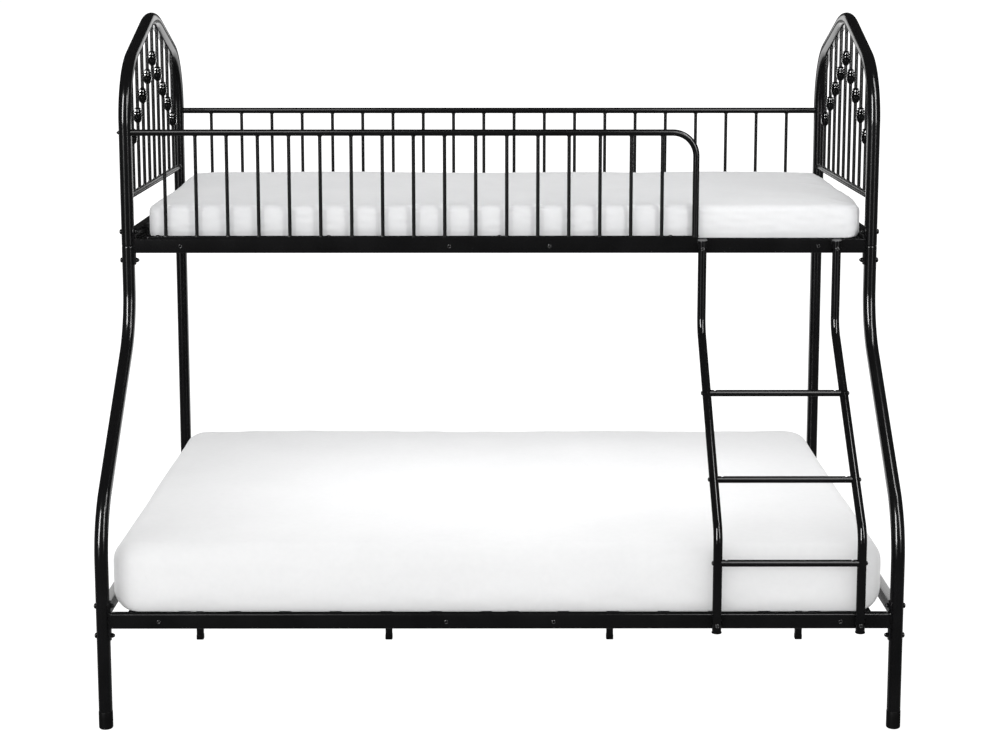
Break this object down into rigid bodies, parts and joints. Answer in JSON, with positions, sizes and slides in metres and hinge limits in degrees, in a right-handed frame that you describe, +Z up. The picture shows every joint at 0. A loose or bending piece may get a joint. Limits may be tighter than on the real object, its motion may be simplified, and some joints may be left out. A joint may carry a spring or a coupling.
{
  "type": "metal bunk bed",
  "caption": "Metal bunk bed with a narrow bunk over a wide one, arched ends with cast knuckles, bent front legs, guard rails and a bent ladder.",
  "frame": {"origin": "middle of the footprint, on the floor", "axes": "+X along the bed's length, +Y from the ladder side to the wall side, +Z up"},
  "size_m": [2.122, 1.4943, 1.8514],
  "materials": {
    "powder_coat": "black powder coat, smooth satin gloss over steel tube",
    "black_fasteners": "black coated bolts with domed heads and domed nuts",
    "plastic_trim": "black moulded plastic feet and tube plugs",
    "zinc_sleeve": "bare zinc plated steel, hidden inside the posts",
    "mattress_cover": "plain white woven fitted cover over foam"
  },
  "bodies": {
    "frame": {"front_guard_rail": "powder_coat", "ladder_left_bottom_plug": "plastic_trim", "ladder_left_stile": "powder_coat", "ladder_left_top_plug": "plastic_trim", "ladder_lower_rung": "powder_coat", "ladder_middle_rung": "powder_coat", "ladder_right_bottom_plug": "plastic_trim", "ladder_right_stile": "powder_coat", "ladder_right_top_plug": "plastic_trim", "ladder_upper_rung": "powder_coat", "left_front_foot": "plastic_trim", "left_front_leg": "powder_coat", "left_front_post_sleeve": "zinc_sleeve", "left_headboard_panel": "powder_coat", "left_inner_support_foot": "plastic_trim", "left_inner_support_leg": "powder_coat", "left_lower_end_rail": "powder_coat", "left_outer_support_foot": "plastic_trim", "left_outer_support_leg": "powder_coat", "left_rear_foot": "plastic_trim", "left_rear_leg": "powder_coat", "left_rear_post_sleeve": "zinc_sleeve", "left_upper_arch": "powder_coat", "left_upper_end_rail": "powder_coat", "lower_front_left_bottom_bolt": "black_fasteners", "lower_front_left_top_bolt": "black_fasteners", "lower_front_rail": "powder_coat", "lower_front_right_bottom_bolt": "black_fasteners", "lower_front_right_top_bolt": "black_fasteners", "lower_left_slat_panel": "powder_coat", "lower_rear_rail": "powder_coat", "lower_right_slat_panel": "powder_coat", "rear_guard_rail": "powder_coat", "right_front_foot": "plastic_trim", "right_front_leg": "powder_coat", "right_front_post_sleeve": "zinc_sleeve", "right_headboard_panel": "powder_coat", "right_inner_support_foot": "plastic_trim", "right_inner_support_leg": "powder_coat", "right_lower_end_rail": "powder_coat", "right_outer_support_foot": "plastic_trim", "right_outer_support_leg": "powder_coat", "right_rear_foot": "plastic_trim", "right_rear_leg": "powder_coat", "right_rear_post_sleeve": "zinc_sleeve", "right_upper_arch": "powder_coat", "right_upper_end_rail": "powder_coat", "upper_front_left_bottom_bolt": "black_fasteners", "upper_front_left_top_bolt": "black_fasteners", "upper_front_rail": "powder_coat", "upper_front_right_bottom_bolt": "black_fasteners", "upper_front_right_top_bolt": "black_fasteners", "upper_left_slat_panel": "powder_coat", "upper_rear_rail": "powder_coat", "upper_right_slat_panel": "powder_coat"},
    "upper_mattress": {"upper_mattress": "mattress_cover"},
    "lower_mattress": {"lower_mattress": "mattress_cover"}
  },
  "joints": [
    {"name": "upper_mattress_lift", "type": "slide", "parent": "frame", "child": "upper_mattress", "axis": [0, 0, 1], "range_m": [0, 0.35]},
    {"name": "lower_mattress_lift", "type": "slide", "parent": "frame", "child": "lower_mattress", "axis": [0, 0, 1], "range_m": [0, 0.06]}
  ]
}
